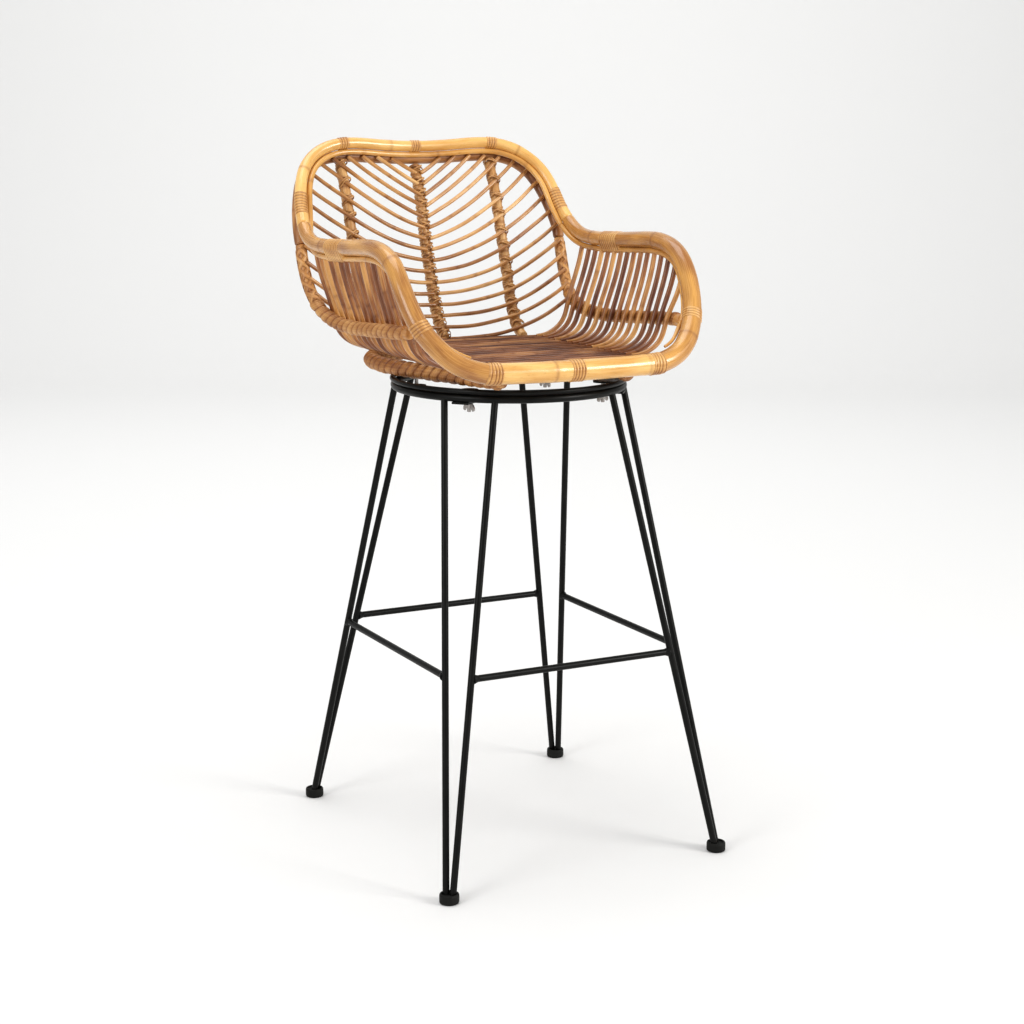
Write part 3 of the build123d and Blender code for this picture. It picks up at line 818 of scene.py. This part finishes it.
# ------------------------------------------------------------------ feet
FOOT_PROFILE = [
    (0.01, 0.0), (9.0, 0.0), (12.2, 0.25), (13.7, 1.0), (14.4, 2.4), (14.5, 4.5), (14.5, 10.5), (14.3, 12.8),
    (13.6, 14.2), (12.6, 14.8), (11.6, 14.6), (11.0, 13.6), (10.8, 12.4), (9.0, 12.1), (0.01, 12.0),
]
for front in (-1, 1):
    for side in (-1, 1):
        label = f"{'front' if front < 0 else 'back'}_{'left' if side < 0 else 'right'}"
        foot = Piece()
        foot.lathe((side * FOOT_X, front * FOOT_Y, 0), FOOT_PROFILE)
        foot.build(f"foot_cap_{label}", RUBBER, [f"foot_{label}"])

# ------------------------------------------------------------------ weld beads at the footrests' ends
def ring_point(side, front, which):
    angle = math.radians(ROD_ANGLES[which])
    return arr((side * RING_R * math.cos(angle), front * RING_R * math.sin(angle), RING_TOP_Z))


def rod_point(side, front, which):
    """The centre of one of a leg's two rods, at the footrests' height."""
    tops = [ring_point(side, front, each) for each in ("side", "end")]
    apart = (tops[0] - tops[1]) / np.linalg.norm(tops[0] - tops[1]) * (ROD_R + 0.05)
    foot = arr((side * FOOT_X, front * FOOT_Y, ROD_FOOT_Z))
    foot = foot + apart if which == "side" else foot - apart
    top = ring_point(side, front, which)
    return foot + (top - foot) * ((FOOTREST_Z - foot[2]) / (top[2] - foot[2]))


footrests = [[rod_point(side, front, "end") for side in (-1, 1)] for front in (-1, 1)]
footrests += [[rod_point(side, front, "side") for front in (-1, 1)] for side in (-1, 1)]
bead_radii = ((0, 0.25, 0.5, 1), (7.2, 6.9, 5.9, 5.05))
beads = Piece()
for ends in footrests:
    for here, there in (ends, ends[::-1]):
        along_bar = (there - here) / np.linalg.norm(there - here)
        stretch = np.array([here + along_bar * t for t in (3.4, 4.6, 6.0, 8.2, 10.5)])
        beads.pole(stretch, bead_radii, sides=24, round_end=False)
beads.build("weld_beads", BLACK)

# ------------------------------------------------------------------ CAD nodes that stay
STEEL = ("leg_rod", "footrest", "base_ring", "base_tab", "seat_ring", "seat_tabs")
for name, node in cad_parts.items():
    if node.hide_render:
        continue
    material = BLACK if name.startswith(STEEL) else ZINC
    node.data.materials.clear()
    node.data.materials.append(material)

# ------------------------------------------------------------------ floor, light and camera
def stage_mesh(name, verts, faces, colour, roughness):
    mesh = bpy.data.meshes.new(name)
    mesh.from_pydata(verts, [], faces)
    mesh.polygons.foreach_set("use_smooth", [True] * len(mesh.polygons))
    material, _, shader = new_material(name)
    shader.inputs["Base Color"].default_value = (*colour, 1)
    shader.inputs["Roughness"].default_value = roughness
    mesh.materials.append(material)
    obj = bpy.data.objects.new(name, mesh)
    bpy.context.scene.collection.objects.link(obj)


FLOOR_FRONT, BEND_AT, BEND_R, WALL_TOP, HALF_WIDTH = -9.0, 5.0, 2.0, 9.0, 14.0
VIEW_ANGLE = math.radians(-27.5)  # the camera's place round the stool, and so the sweep's
profile = [(FLOOR_FRONT, 0.0), (BEND_AT, 0.0)]
for a in np.linspace(0.1, math.pi / 2, 12):
    profile.append((BEND_AT + BEND_R * math.sin(a), BEND_R - BEND_R * math.cos(a)))
profile.append((BEND_AT + BEND_R, WALL_TOP))
turn = Matrix.Rotation(VIEW_ANGLE, 3, "Z")
sweep_verts = [tuple(turn @ Vector((x, y, z))) for y, z in profile for x in (-HALF_WIDTH, HALF_WIDTH)]
sweep_faces = [(2 * i, 2 * i + 1, 2 * i + 3, 2 * i + 2) for i in range(len(profile) - 1)]
stage_mesh("studio_floor", sweep_verts, sweep_faces, (0.80, 0.80, 0.795), 0.8)


def area_light(name, place, target, size, power, colour=(1, 1, 1)):
    light = bpy.data.lights.new(name, "AREA")
    light.shape = "RECTANGLE"
    light.size, light.size_y = size
    light.energy = power
    light.color = colour
    obj = bpy.data.objects.new(name, light)
    bpy.context.scene.collection.objects.link(obj)
    obj.location = place
    obj.rotation_euler = (Vector(target) - Vector(place)).to_track_quat("-Z", "Y").to_euler()


area_light("key", (2.6, -3.2, 2.0), (0, 0, 0.75), (1.5, 1.5), 94, (1, 0.985, 0.96))
area_light("side", (-3.2, -1.2, 1.9), (0, 0, 0.7), (1.4, 2.0), 36)
area_light("backdrop", (1.0, 2.6, 4.4), (2.0, 6.4, 0.6), (6.0, 1.6), 95)
area_light("top", (-0.4, 0.4, 4.0), (0, 0, 0.4), (2.6, 2.6), 50)

world = bpy.data.worlds.new("studio")
world.use_nodes = True
world.node_tree.nodes["Background"].inputs["Color"].default_value = (1, 1, 1, 1)
world.node_tree.nodes["Background"].inputs["Strength"].default_value = 0.5
bpy.context.scene.world = world
bpy.context.scene.view_settings.view_transform = "Standard"
bpy.context.scene.view_settings.look = "Medium High Contrast"

YAW, PITCH, ROLL = 0.4816, -0.1977, 0.0028
LENS, SENSOR = 69.76793, 36.0
CAMERA_AT = (-1387.69, -2667.02 + FOOT_CENTRE_Y, 1106.33)
forward = Vector((math.sin(YAW) * math.cos(PITCH), math.cos(YAW) * math.cos(PITCH), math.sin(PITCH)))
right = Vector((math.cos(YAW), -math.sin(YAW), 0))
above = right.cross(forward)
right, above = (
    right * math.cos(ROLL) + above * math.sin(ROLL),
    above * math.cos(ROLL) - right * math.sin(ROLL),
)
camera_data = bpy.data.cameras.new("camera")
camera_data.sensor_width = SENSOR
camera_data.lens = LENS
camera_data.clip_end = 60
camera = bpy.data.objects.new("camera", camera_data)
bpy.context.scene.collection.objects.link(camera)
turned = Matrix((right, above, -forward)).transposed().to_4x4()
turned.translation = Vector(CAMERA_AT) * MM
camera.matrix_world = turned
bpy.context.scene.camera = camera

bpy.context.view_layer.update()
